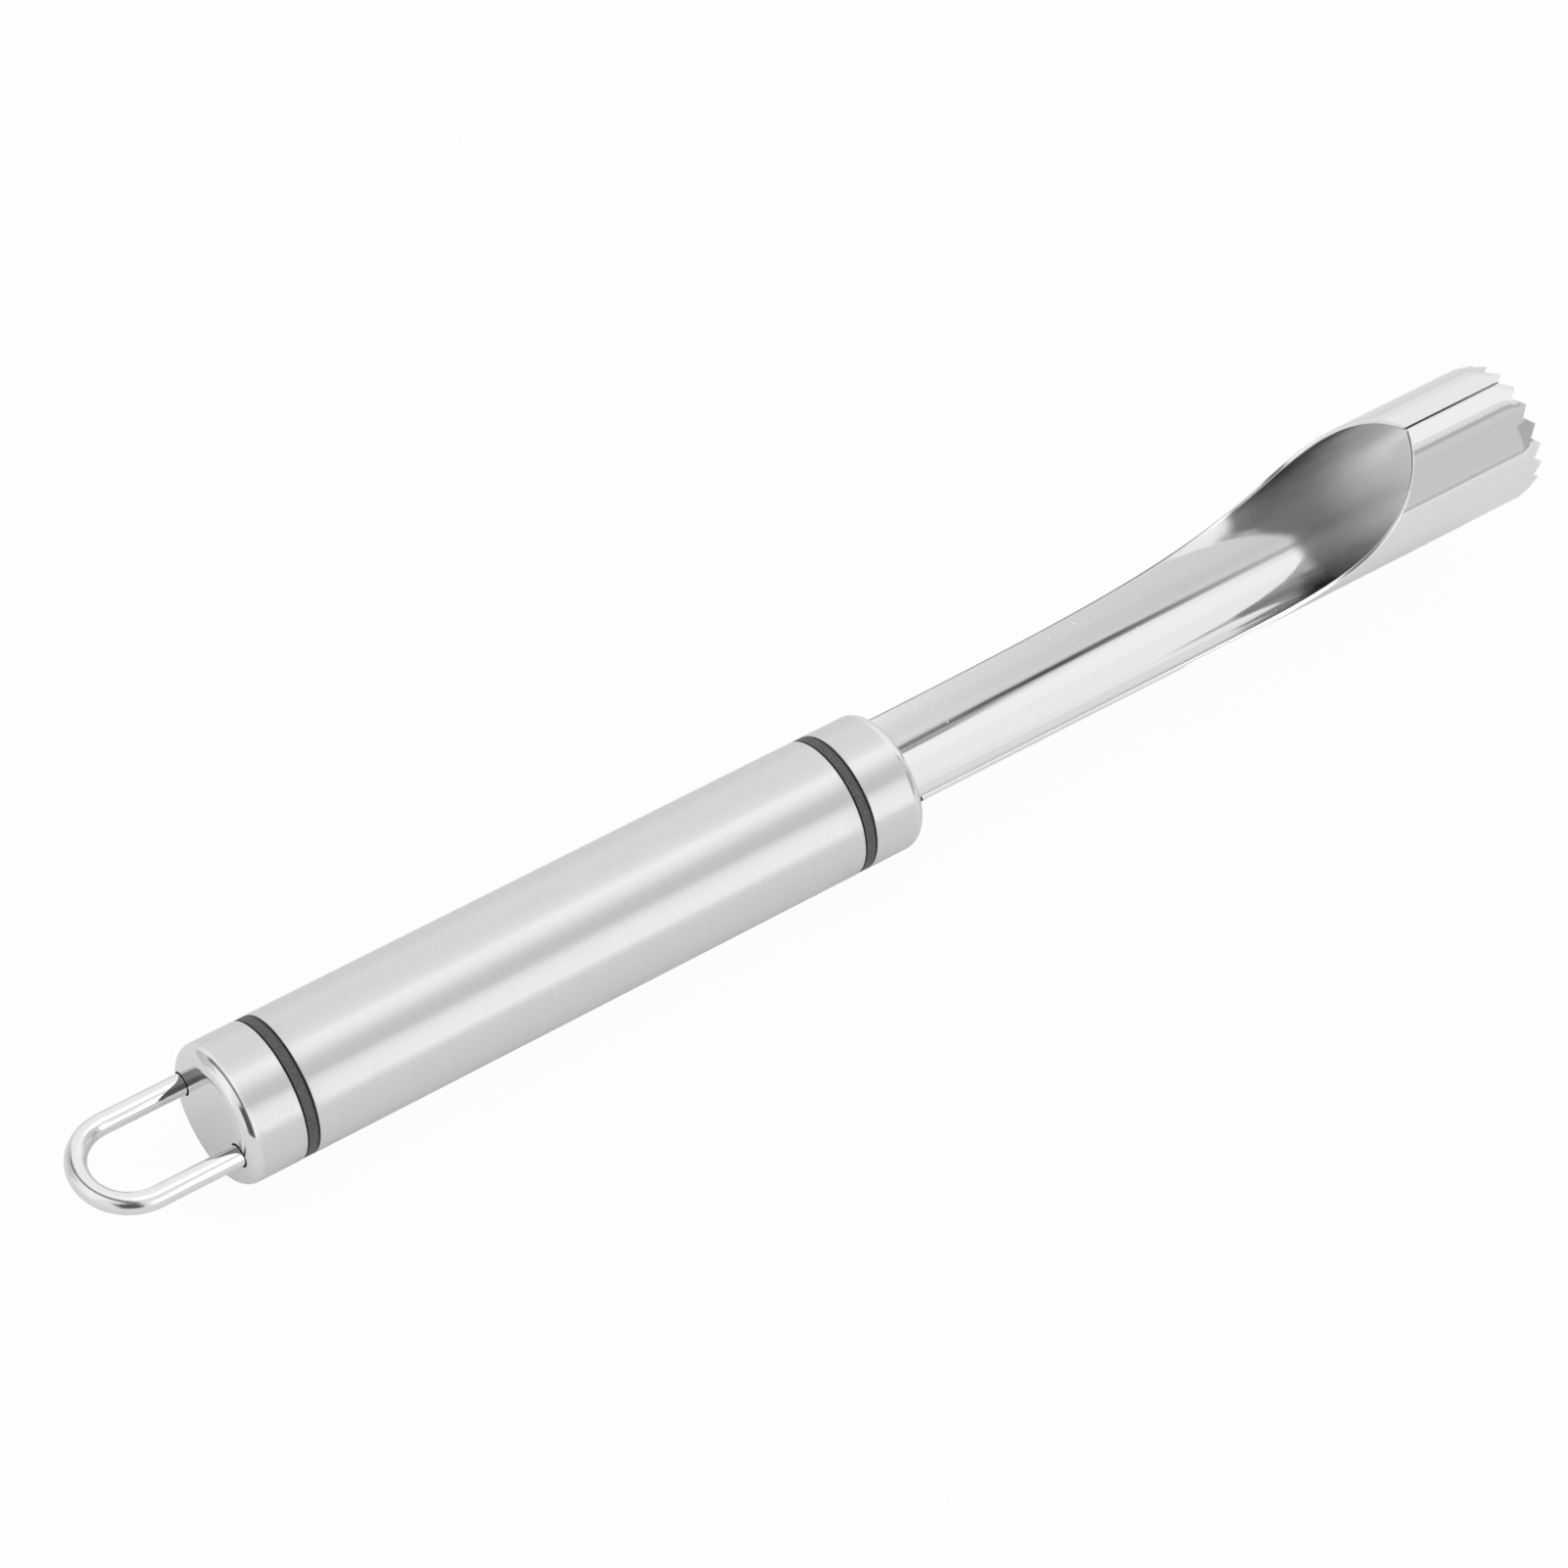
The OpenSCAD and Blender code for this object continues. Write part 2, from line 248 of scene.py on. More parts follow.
class Recipe:
    """Adds nodes to one node tree and links them as they are made."""

    def __init__(self, tree):
        self.tree = tree
        tree.nodes.clear()

    def add(self, kind, settings=None, **inputs):
        """Adds a node. A key of inputs is a socket's name or its number after an underscore."""
        made = self.tree.nodes.new(kind)
        for name, value in (settings or {}).items():
            setattr(made, name, value)
        for key, value in inputs.items():
            number = key.lstrip("_")
            socket = made.inputs[int(number)] if number.isdigit() else made.inputs[key.replace("_", " ")]
            self.put(socket, value)
        return made

    def put(self, socket, value):
        """Links a socket to a node's output, or sets it to a plain value."""
        if isinstance(value, bpy.types.NodeSocket):
            self.tree.links.new(value, socket)
        else:
            socket.default_value = value

    def math(self, operation, *values):
        made = self.add("ShaderNodeMath", {"operation": operation})
        for socket, value in zip(made.inputs, values):
            self.put(socket, value)
        return made.outputs[0]

    def product(self, first, *others):
        for other in others:
            first = self.math("MULTIPLY", first, other)
        return first

    def spread(self, value, low, high, to_low=0.0, to_high=1.0, smooth=True):
        """Maps value from one range to another, held at both ends."""
        kind = "SMOOTHSTEP" if smooth else "LINEAR"
        made = self.add("ShaderNodeMapRange", {"interpolation_type": kind})
        for number, entry in enumerate((value, low, high, to_low, to_high)):
            self.put(made.inputs[number], entry)
        return made.outputs[0]

    def past(self, value, band, origin=0.0):
        """0 before a band and 1 past it. The band runs from its first to its last value, counted from an origin."""
        return self.spread(value, origin + band[0], origin + band[1])

    def grade(self, noise, to_low=0.0, to_high=1.0, top=NOISE_HIGH):
        """Maps a noise evenly, from the least to the greatest value that it usually has."""
        return self.spread(noise, NOISE_LOW, top, to_low, to_high, smooth=False)

    def mix(self, share, first, second):
        made = self.add("ShaderNodeMix", {"data_type": "RGBA"})
        self.put(made.inputs[0], share)
        self.put(made.inputs[6], first)
        self.put(made.inputs[7], second)
        return made.outputs[2]

    def coordinates(self):
        """Coordinates of a point in the part's frame, in metres."""
        return self.add("ShaderNodeTexCoord").outputs["Object"]

    def noise(self, vector, scale, detail=2.0, roughness=0.5):
        made = self.add("ShaderNodeTexNoise", Vector=vector, Scale=scale, Detail=detail, Roughness=roughness)
        return made.outputs["Fac"]

    def stretched_noise(self, spot, fine_along, fine_round, detail, roughness=0.5):
        """A noise drawn out along the part or round it. spot is (along, across, above) in metres."""
        vector = self.add("ShaderNodeCombineXYZ")
        for socket, value, scale in zip(vector.inputs, spot, (fine_along, fine_round, fine_round)):
            self.put(socket, self.product(value, scale))
        return self.noise(vector.outputs[0], 1.0, detail, roughness)

    def speck(self, vector, scale, size):
        """Sparse round specks: 1 in the middle of a speck and 0 between specks."""
        made = self.add("ShaderNodeTexVoronoi", Vector=vector, Scale=scale)
        cell = self.add("ShaderNodeSeparateColor", _0=made.outputs["Color"]).outputs[0]
        near = self.spread(made.outputs["Distance"], size, size * 0.3)
        return self.product(self.past(cell, SPECK_CELLS), near)

    def surface(self, relief, strength, depth, **inputs):
        """Closes a material with its shader. The relief is raised by a depth in metres."""
        bump = self.add("ShaderNodeBump", Strength=strength, Distance=depth, Height=relief)
        shader = self.add("ShaderNodeBsdfPrincipled", Normal=bump.outputs[0], **inputs)
        self.add("ShaderNodeOutputMaterial", Surface=shader.outputs[0])


def new_material(name):
    made = bpy.data.materials.new(name)
    made.use_nodes = True
    return made, Recipe(made.node_tree)


def tinted(colour, share=1.0):
    """A node's colour: each part of a colour times a share, up to white."""
    return (*[min(1.0, part * share) for part in colour], 1.0)


def grey(level):
    return (level, level, level, 1.0)


def place(recipe, height):
    """A point's place on the part, in metres: along it, across it, above its axis and away from its axis."""
    along, across, up = recipe.add("ShaderNodeSeparateXYZ", _0=recipe.coordinates()).outputs
    above = recipe.math("SUBTRACT", up, height)
    squares = recipe.math("ADD", recipe.product(across, across), recipe.product(above, above))
    return Spot(along, across, above, recipe.math("SQRT", squares))


def finish_steel(recipe, colour, roughness, relief, depth, turn, anisotropic):
    """Closes a steel recipe: the tangent of its marks runs round the part's axis."""
    tangent = recipe.add("ShaderNodeTangent", {"direction_type": "RADIAL", "axis": "X"})
    recipe.surface(
        relief,
        0.6,
        depth,
        Base_Color=colour,
        Metallic=1.0,
        Roughness=roughness,
        Anisotropic=anisotropic,
        Anisotropic_Rotation=turn,
        Tangent=tangent.outputs[0],
    )


def satin_steel(name, colour, shoulder_low, shoulder_high):
    """Steel brushed round the handle, and polished brighter past the places of the two shoulders."""
    material, recipe = new_material(name)
    spot = place(recipe, HANDLE_Z)
    travel = recipe.math("ADD", spot.along, spot.distance)
    fine = recipe.stretched_noise((travel, spot.across, spot.above), 14000.0, 90.0, 3.0, 0.6)
    broad = recipe.stretched_noise((travel, spot.across, spot.above), 7000.0, 60.0, 2.0)
    cloud = recipe.stretched_noise(spot[:3], 130.0, 220.0, 2.0)
    brush = recipe.math("MULTIPLY_ADD", broad, 0.25, recipe.product(fine, 0.75))
    worn_low = recipe.past(spot.along, (0.0, -SHOULDER_BLEND), shoulder_low)
    worn_high = recipe.past(spot.along, (0.0, SHOULDER_BLEND), shoulder_high)
    worn = recipe.math("MAXIMUM", worn_low, worn_high)
    clouded = recipe.math("MULTIPLY_ADD", cloud, 0.06, recipe.product(brush, 0.94))
    shade = recipe.mix(recipe.grade(clouded), tinted(colour, 0.93), tinted(colour, 1.06))
    shade = recipe.mix(worn, shade, tinted(colour, 1.02))
    rough = recipe.grade(brush, *SATIN_ROUGHNESS)
    rough = recipe.math("SUBTRACT", rough, recipe.product(worn, SHOULDER_POLISH))
    relief = recipe.product(brush, recipe.math("MULTIPLY_ADD", worn, -0.8, 1.0))
    streak = recipe.math("MULTIPLY_ADD", worn, -0.6, 0.9)
    finish_steel(recipe, shade, rough, relief, BRUSH_DEPTH, 0.25, streak)
    return material


def polished_steel(name, colour, height, bend=None, marks=None):
    """Mirror steel with faint drawing marks along the part, and pits.

    bend is where the wire's bend starts, which the bending has dulled. marks are the blade's, for blade_marks_and_painted_light."""
    material, recipe = new_material(name)
    spot = place(recipe, height)
    drawn = recipe.stretched_noise(spot[:3], 45.0, 2600.0, 3.0, 0.6)
    wave = recipe.stretched_noise(spot[:3], 70.0, 130.0, 1.0)
    pits = recipe.speck(recipe.coordinates(), 900.0, 0.16)
    tone = recipe.mix(drawn, tinted(colour, 0.97), tinted(colour, 1.02))
    rough = recipe.grade(drawn, *POLISHED_ROUGHNESS, top=0.75)
    relief = recipe.math("MULTIPLY_ADD", wave, 5.0, recipe.product(drawn, 0.12))
    relief = recipe.math("SUBTRACT", relief, recipe.product(pits, 0.8))
    if bend is not None:
        rough, relief = dull_bend(recipe, spot, bend, rough, relief)
    if marks is not None:
        tone, rough = blade_marks_and_painted_light(recipe, spot, drawn, tone, rough, **marks)
    rough = recipe.math("MAXIMUM", rough, recipe.product(pits, PIT_ROUGHNESS))
    finish_steel(recipe, tone, rough, relief, DRAWN_DEPTH, 0.0, 0.3)
    return material


def dull_bend(recipe, spot, start, rough, relief):
    """Roughness and relief of the wire, which is grainy behind the place where its bend starts."""
    bent = recipe.past(spot.along, (0.002, -0.002), start)
    grain = recipe.noise(recipe.coordinates(), 4500.0, 2.0)
    rough = recipe.math("MAXIMUM", rough, recipe.product(bent, recipe.grade(grain, *BEND_ROUGHNESS)))
    return rough, recipe.math("ADD", relief, recipe.product(bent, recipe.product(grain, 1.2)))


def blade_marks_and_painted_light(recipe, spot, drawn, tone, rough, radius, start, end, dull, root, slit):
    """Tone and roughness of the blade, with painted light and shade.

    Inside the radius the sheet is dull from the start on, with painted shade that lessens towards the end, and painted
    light on its steep walls. root is where the blade leaves the collar, between corners darkened with painted shade.
    slit is the width of the open seam, whose cut edges are darkened with painted shade."""
    aside = recipe.math("ABSOLUTE", spot.across)
    wall = recipe.past(aside, STEEP_WALL)
    inside = recipe.past(spot.distance, (0.0, -0.0001), radius)
    # Painted light: the steep walls inside the sheet are given a brighter tone.
    tone = recipe.mix(recipe.product(inside, wall), tone, WALL_PAINTED_LIGHT)
    rough = recipe.math("ADD", rough, recipe.product(inside, INSIDE_ROUGHNESS))
    tone, rough = grey_trough(recipe, spot, inside, start, drawn, tone, rough)
    inside = recipe.product(inside, dull_and_shade_share(recipe, spot, start, wall))
    rough = recipe.math("ADD", rough, recipe.product(inside, DULL_ROUGHNESS))
    # Painted shade: the dull zone's colour is darkest deep in the sheet and lessens towards the end.
    mouth = recipe.spread(spot.along, start + FADE_START, end, 1.0, 0.2)
    tone = recipe.mix(recipe.product(inside, mouth), tone, dull_painted_light_and_shade(recipe, spot, start, dull))
    # Painted shade: the sheet's corners where it leaves the collar are painted dark.
    corner = recipe.product(recipe.past(spot.along, ROOT_MARK, root), recipe.past(aside, ROOT_CORNER))
    tone = recipe.mix(corner, tone, grey(ROOT_PAINTED_SHADE))
    # Painted shade: the edges beside the open seam are painted dark, less so towards the teeth.
    fade_start, fade_end = (BLADE_HIGH.x + shift for shift in SEAM_FADE)
    near = recipe.product(
        recipe.past(aside, SEAM_EDGE, slit / 2),
        recipe.math("GREATER_THAN", spot.above, 0.0),
        recipe.spread(spot.along, fade_start, fade_end, 1.0, 0.55),
    )
    return recipe.mix(near, tone, grey(SEAM_PAINTED_SHADE)), rough


def grey_trough(recipe, spot, inside, start, drawn, tone, rough):
    """Tone and roughness of the trough: a dull lip, a wall greyed with painted shade on the near side, and a cut edge
    on the far side darkened with painted shade.
    """
    trough = recipe.product(inside, recipe.past(spot.along, TROUGH_END, start))
    lip = recipe.past(spot.across, NEAR_LIP)
    rough = recipe.math("ADD", rough, recipe.product(trough, lip, LIP_ROUGHNESS))
    # Painted shade: the near wall of the trough is greyed in streaks.
    band = recipe.product(recipe.past(spot.across, NEAR_WALL), recipe.math("SUBTRACT", 1.0, lip))
    band = recipe.product(band, recipe.grade(drawn, 0.5, 1.0))
    tone = recipe.mix(recipe.product(trough, band), tone, NEAR_WALL_PAINTED_SHADE)
    # Painted shade: the cut edge on the far side of the trough is painted dark grey.
    far_cut_shade = recipe.product(
        recipe.past(spot.distance, CUT_INNER),
        recipe.past(spot.distance, CUT_OUTER),
        recipe.past(spot.across, CUT_ACROSS),
        recipe.past(spot.along, CUT_ALONG, start),
    )
    return recipe.mix(far_cut_shade, tone, grey(CUT_EDGE_PAINTED_SHADE)), rough


def dull_and_shade_share(recipe, spot, start, wall):
    """Where the sheet's inside is dull and takes painted shade: from the start on, and sooner on its walls and its far
    lip.

    wall is how much of a point lies on either steep wall."""
    reach = recipe.math("MULTIPLY_ADD", wall, WALL_REACH, spot.along)
    reach = recipe.math("MULTIPLY_ADD", recipe.past(spot.across, STEEP_WALL), FAR_WALL_REACH, reach)
    reach = recipe.math("MULTIPLY_ADD", recipe.past(spot.across, FAR_LIP), FAR_LIP_REACH, reach)
    return recipe.past(reach, DULL_EDGE, start)


def dull_painted_light_and_shade(recipe, spot, start, colour):
    """Colour of the dull zone, with painted shade and painted light: painted shade at its tip on the far side of the
    floor, and painted light on the two walls.
    """
    lit_near = recipe.past(spot.across, LIT_NEAR)
    lit_far = recipe.product(recipe.past(spot.across, LIT_FAR), recipe.past(spot.above, LIT_FAR_ABOVE))
    deep = recipe.past(spot.along, DARK_TIP, start)
    deep = recipe.math("MAXIMUM", deep, recipe.past(spot.across, DARK_TIP_SIDE))
    deep = recipe.math("MAXIMUM", deep, recipe.past(spot.above, DARK_TIP_ABOVE))
    # Painted shade at the dark tip, and painted light where the walls are lit.
    low = recipe.mix(deep, tinted(colour, DARK_TIP_SHADE_SHARE), tinted(colour, PLAIN_SHARE))
    return recipe.mix(recipe.math("MAXIMUM", lit_near, lit_far), low, tinted(colour, PAINTED_LIGHT_SHARE))


def ring_rubber(name, colour, middles, half):
    """Matt dark rubber with a moulded grain and a little pale dust, and black painted shade in the grooves beside the
    rings.

    middles are the rings' two places along the handle and half is half their width."""
    material, recipe = new_material(name)
    coordinates = recipe.coordinates()
    along = place(recipe, HANDLE_Z).along
    front = recipe.math("GREATER_THAN", along, sum(middles) / 2)
    middle = recipe.math("MULTIPLY_ADD", front, max(middles) - min(middles), min(middles))
    offset = recipe.math("SUBTRACT", along, middle)
    ahead = recipe.past(offset, GROOVE_AHEAD, half)
    behind = recipe.past(offset, GROOVE_BEHIND, -half)
    groove_shade = recipe.math("MAXIMUM", ahead, behind)
    grain = recipe.noise(coordinates, 5000.0, 3.0, 0.6)
    patch = recipe.grade(recipe.noise(coordinates, 2600.0, 3.0, 0.6))
    dust = recipe.speck(coordinates, 1600.0, 0.2)
    shade = recipe.mix(patch, tinted(colour, 0.5), tinted(colour, 1.5))
    shade = recipe.mix(recipe.product(dust, 0.35), shade, grey(0.4))
    # Painted shade: the grooves beside the rings are painted black.
    shade = recipe.mix(groove_shade, shade, grey(0.004))
    recipe.surface(grain, 0.5, 0.00002, Base_Color=shade, Roughness=recipe.grade(patch, 0.5, 0.68))
    return material


def moulded_nylon(name, colour):
    """Black moulded plastic with a fine spark-eroded grain."""
    material, recipe = new_material(name)
    coordinates = recipe.coordinates()
    grain = recipe.noise(coordinates, 4000.0, 3.0, 0.6)
    flow = recipe.noise(coordinates, 300.0, 2.0)
    shade = recipe.mix(flow, tinted(colour, 0.8), tinted(colour, 1.4))
    recipe.surface(grain, 0.5, 0.00003, Base_Color=shade, Roughness=recipe.grade(grain, 0.4, 0.55))
    return material


def plated_steel(name, colour):
    """Dull zinc plating with soft spangle."""
    material, recipe = new_material(name)
    coordinates = recipe.coordinates()
    spangle = recipe.add("ShaderNodeTexVoronoi", Vector=coordinates, Scale=1500.0)
    cell = recipe.add("ShaderNodeSeparateColor", _0=spangle.outputs["Color"]).outputs[0]
    grain = recipe.noise(coordinates, 5000.0, 3.0)
    shade = recipe.mix(cell, tinted(colour, 0.9), tinted(colour, 1.08))
    rough = recipe.grade(grain, 0.35, 0.5)
    recipe.surface(grain, 0.4, 0.00001, Base_Color=shade, Metallic=1.0, Roughness=rough)
    return material


# Meshes


def new_mesh(name, points, faces):
    mesh = bpy.data.meshes.new(name)
    mesh.from_pydata(points, [], faces)
    return mesh


def new_object(name, data):
    made = bpy.data.objects.new(name, data)
    bpy.context.scene.collection.objects.link(made)
    return made


def make_piece(name, points, faces, material, slot, stands_for):
    """Makes a smooth-shaded mesh object of the part that stands for a CAD node."""
    mesh = new_mesh(name, points, faces)
    mesh.validate()
    mesh.materials.append(material)
    mesh.shade_smooth()
    mesh.set_sharp_from_angle(angle=CREASE)
    made = new_object(name, mesh)
    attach(made, "root")
    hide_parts(stands_for)
    return made


def flipped(faces):
    return [tuple(reversed(face)) for face in faces]


def evenly(start, end, parts):
    """Values from the start to the end in even steps, both included."""
    return [start + (end - start) * i / parts for i in range(parts + 1)]


def straight(start, end, distance, parts):
    """Points along a straight wall, without its two ends."""
    return [(x, distance) for x in evenly(start, end, parts)[1:-1]]


def arc(x, r, radius, start, end, steps):
    """Points of a fillet: (place along the axis, distance from the axis). Angles in degrees from the axis."""
    turns = [math.radians(angle) for angle in evenly(start, end, steps)]
    return [(x + radius * math.cos(turn), r + radius * math.sin(turn)) for turn in turns]


def join_rings(pairs, steps):
    """Faces between pairs of neighbouring rings of point numbers. A ring can be a single point."""
    faces = []
    for first, second in pairs:
        for i in range(steps):
            j = (i + 1) % steps
            if len(first) == 1:
                faces.append((first[0], second[i], second[j]))
            elif len(second) == 1:
                faces.append((first[i], second[0], first[j]))
            else:
                faces.append((first[i], second[i], second[j], first[j]))
    return faces


def lathe(outline, height, steps=TURN_STEPS, closed=True):
    """Turns an outline of (along, distance) round the X axis at a height. A distance of 0 is one point."""
    points, rings = [], []
    for along, distance in outline:
        count = 1 if distance < 1e-9 else steps
        rings.append(range(len(points), len(points) + count))
        for i in range(count):
            turn = 2 * math.pi * i / steps
            points.append((along, -distance * math.sin(turn), height - distance * math.cos(turn)))
    pairs = zip(rings, rings[1:] + rings[:1]) if closed else zip(rings, rings[1:])
    return points, join_rings(pairs, steps)


def sleeve_outline(low, high, inner, outer, edge, parts):
    """Outline of a tube with rounded outer edges, from its inner low edge round."""
    inner_edge = edge / 2
    return (
        arc(low + inner_edge, inner + inner_edge, inner_edge, 270, 180, INNER_EDGE_STEPS)
        + arc(low + edge, outer - edge, edge, 180, 90, EDGE_STEPS)
        + straight(low + edge, high - edge, outer, parts)
        + arc(high - edge, outer - edge, edge, 90, 0, EDGE_STEPS)
        + arc(high - inner_edge, inner + inner_edge, inner_edge, 360, 270, INNER_EDGE_STEPS)
        + straight(high - inner_edge, low + inner_edge, inner, parts)
    )


def cup_outline(closed_end, mouth, radius, wall, shoulder, edge):
    """Outline of a drawn cup from the middle of its closed end, round its mouth and back inside."""
    way = 1.0 if mouth > closed_end else -1.0
    flat = radius - shoulder
    depth = abs(mouth - closed_end)
    inner_edge = edge / 2
    shape = [(0.0, flat * i / FLAT_PARTS) for i in range(FLAT_PARTS)]
    shape += arc(shoulder, flat, shoulder, 180, 90, SHOULDER_STEPS)
    shape += straight(shoulder, depth - edge, radius, CUP_PARTS)
    shape += arc(depth - edge, radius - edge, edge, 90, 0, EDGE_STEPS)
    shape += arc(depth - inner_edge, radius - wall + inner_edge, inner_edge, 360, 270, INNER_EDGE_STEPS)
    shape += straight(depth - inner_edge, shoulder, radius - wall, CUP_PARTS)
    shape += arc(shoulder, flat, shoulder - wall, 90, 180, INNER_SHOULDER_STEPS)
    shape += [(wall, flat * i / FLAT_PARTS) for i in reversed(range(FLAT_PARTS))]
    return [(closed_end + way * x, r) for x, r in shape]


def cut(piece, shapes):
    """Cuts closed meshes, each given as (points, faces), out of a piece."""
    cutters = [new_object("cutter", new_mesh("cutter", *shape)) for shape in shapes]
    for cutter in cutters:
        modifier = piece.modifiers.new("cut", "BOOLEAN")
        modifier.operation = "DIFFERENCE"
        modifier.solver = "EXACT"
        modifier.object = cutter
    bpy.context.view_layer.update()
    graph = bpy.context.evaluated_depsgraph_get()
    mesh = bpy.data.meshes.new_from_object(piece.evaluated_get(graph))
    piece.modifiers.clear()
    piece.data = mesh
    mesh.set_sharp_from_angle(angle=CREASE)
    for cutter in cutters:
        bpy.data.objects.remove(cutter)


def rod(low, high, aside, height, radius):
    """A closed rod along X, beside the part's middle."""
    outline = [(low, 0.0), (low, radius), (high, radius), (high, 0.0)]
    points, faces = lathe(outline, height, WIRE_STEPS, closed=False)
    return [(x, y + aside, z) for x, y, z in points], faces


def strip(low, high, height, inner, outer, half_angle, steps=48):
    """A closed strip of a rolled sheet, open at the top."""
    section = []
    for radius, order in ((outer, range(steps + 1)), (inner, range(steps, -1, -1))):
        for i in order:
            turn = half_angle * (2 * i / steps - 1)
            section.append((radius * math.sin(turn), height - radius * math.cos(turn)))
    count = len(section)
    points = [(x, y, z) for x in (low, high) for y, z in section]
    faces = [(i, (i + 1) % count, (i + 1) % count + count, i + count) for i in range(count)]
    for i in range(steps):
        faces.append((i, 2 * steps + 1 - i, 2 * steps - i, i + 1))
        faces.append((i + 1 + count, 2 * steps - i + count, 2 * steps + 1 - i + count, i + count))
    return points, flipped(faces)


def scoop_angle(sizes, behind):
    """Half angle of the sheet from the bottom of the tube, at a distance behind the seam's start."""
    slit = sizes.slit / 2 / BLADE_RADIUS
    corner = sizes.corner
    bore = BLADE_RADIUS - sizes.sheet
    if behind <= -corner:
        return math.pi - slit
    if behind < 0:
        round_width = corner / 2 * (1 + behind / corner) ** 2
        opening = 0.0
    else:
        round_width = corner / 2 * math.exp(-2 * behind / corner)
        share = math.exp(-((behind / sizes.scoop_reach) ** SCOOP_POWER))
        opening = (math.pi - sizes.trough_angle) * (1 - share)
    opening += (sizes.slit / 4 + round_width) / bore
    return math.pi - max(slit, opening)


def blade_rows(sizes):
    """Rows of the blade from the tang to the bevel: (place along the part, half angle of the sheet)."""
    seam_x = BLADE_HIGH.x - sizes.seam
    root_x = COLLAR_HIGH.x + ROOT_GAP
    rows = [(x, sizes.tang_angle) for x in evenly(BLADE_LOW.x, root_x - ROOT_STEP, TANG_ROWS)]
    behind = [(seam_x - root_x) * (i / SCOOP_ROWS) ** 2 for i in range(SCOOP_ROWS, -1, -1)]
    behind += evenly(0.0, -sizes.corner, CORNER_ROWS)[1:]
    rows += [(seam_x - s, scoop_angle(sizes, s)) for s in behind]
    closed = evenly(seam_x + sizes.corner, BLADE_HIGH.x - sizes.bevel, TUBE_ROWS)[1:]
    rows += [(x, scoop_angle(sizes, -sizes.corner)) for x in closed]
    return rows


def tooth_edge(sizes, angle):
    """Where the cutting edge lies along the part, at an angle from the bottom of the tube."""
    pitch = 2 * math.pi / sizes.teeth
    phase = abs(angle) / pitch % 1.0
    return BLADE_HIGH.x - sizes.tooth_height * abs(2 * phase - 1)


def blade_section(sizes, x, half_angle, slope=0.0, rise=0.0):
    """One closed section of the sheet at x: its outside, one edge, its inside and the other edge.

    slope is how steeply the sheet's edge runs there. rise is the share of the way from x to the teeth."""
    round_angle = sizes.edge * min(STEEPEST_EDGE, math.sqrt(1 + slope * slope)) / BLADE_RADIUS
    margin = sizes.edge * EDGE_MARGIN / BLADE_RADIUS
    half_columns = sizes.teeth * COLUMNS_PER_TOOTH // 2 - 1
    widest = math.pi * half_columns / (half_columns + 1)
    main = widest * (half_angle - margin) / (scoop_angle(sizes, -sizes.corner) - margin)
    main = min(main, half_angle - round_angle * COLUMN_MARGIN)
    columns = [main * k / half_columns for k in range(-half_columns, half_columns + 1)]
    columns = [round_angle - half_angle, *columns, half_angle - round_angle]
    inner = BLADE_RADIUS - sizes.sheet

    def point(angle, inside, rounding=0.0):
        """A point of the section's inside or outside, sunk into the sheet by a share of the edge's rounding."""
        along = x + rise * (tooth_edge(sizes, angle) - x)
        left = min(1.0, max(0.0, (BLADE_HIGH.x - along) / sizes.bevel))
        outer = inner + sizes.tip + (sizes.sheet - sizes.tip) * left
        sink = min(sizes.edge, (outer - inner) * ROUNDING_SHARE) * rounding
        radius = inner + sink if inside else outer - sink
        return (along, radius * math.sin(angle), BLADE_Z - radius * math.cos(angle))

    def rim(side):
        """Points round one edge of the sheet, from its outside to its inside."""
        turns = [math.radians(angle) for angle in evenly(0, 90, RIM_STEPS)[1:]]
        places = [(side * (half_angle - round_angle * (1 - math.sin(turn))), 1 - math.cos(turn)) for turn in turns]
        outside = [point(angle, False, rounding) for angle, rounding in places]
        return outside + [point(angle, True, rounding) for angle, rounding in reversed(places)]

    outside = [point(angle, False) for angle in columns]
    inside = [point(angle, True) for angle in reversed(columns)]
    return outside + rim(1.0) + inside + rim(-1.0)[::-1]


def end_faces(count):
    """Faces that close the first section of the sheet, which has this count of points."""
    rim = 2 * RIM_STEPS
    columns = count // 2 - rim
    last = 2 * columns + rim - 1
    faces = [(i, i + 1, last - i - 1, last - i) for i in range(columns - 1)]
    return [*faces, tuple(range(columns - 1, columns + rim + 1)), (*range(last, count), 0)]


def blade_mesh(sizes):
    """The rolled sheet as one closed mesh: sections of the sheet, joined from the tang to the teeth."""
    rows = blade_rows(sizes)
    sections = []
    for number, (x, half_angle) in enumerate(rows):
        slope = 0.0
        if x >= COLLAR_HIGH.x + 2 * ROOT_GAP and number < len(rows) - 1:
            (x0, a0), (x1, a1) = rows[number - 1], rows[number + 1]
            slope = (a1 - a0) * BLADE_RADIUS / max(1e-7, x1 - x0)
        sections.append(blade_section(sizes, x, half_angle, slope))
    bevel_x, closed_angle = rows[-1]
    for rise in evenly(0.0, 1.0, BEVEL_STEPS)[1:]:
        sections.append(blade_section(sizes, bevel_x, closed_angle, rise=rise))
    points = [point for section in sections for point in section]
    count = len(sections[0])
    rings = [range(first, first + count) for first in range(0, len(points), count)]
    ends = end_faces(count)
    faces = join_rings(zip(rings, rings[1:]), count) + ends
    return points, faces + flipped([[rings[-1][i] for i in face] for face in ends])


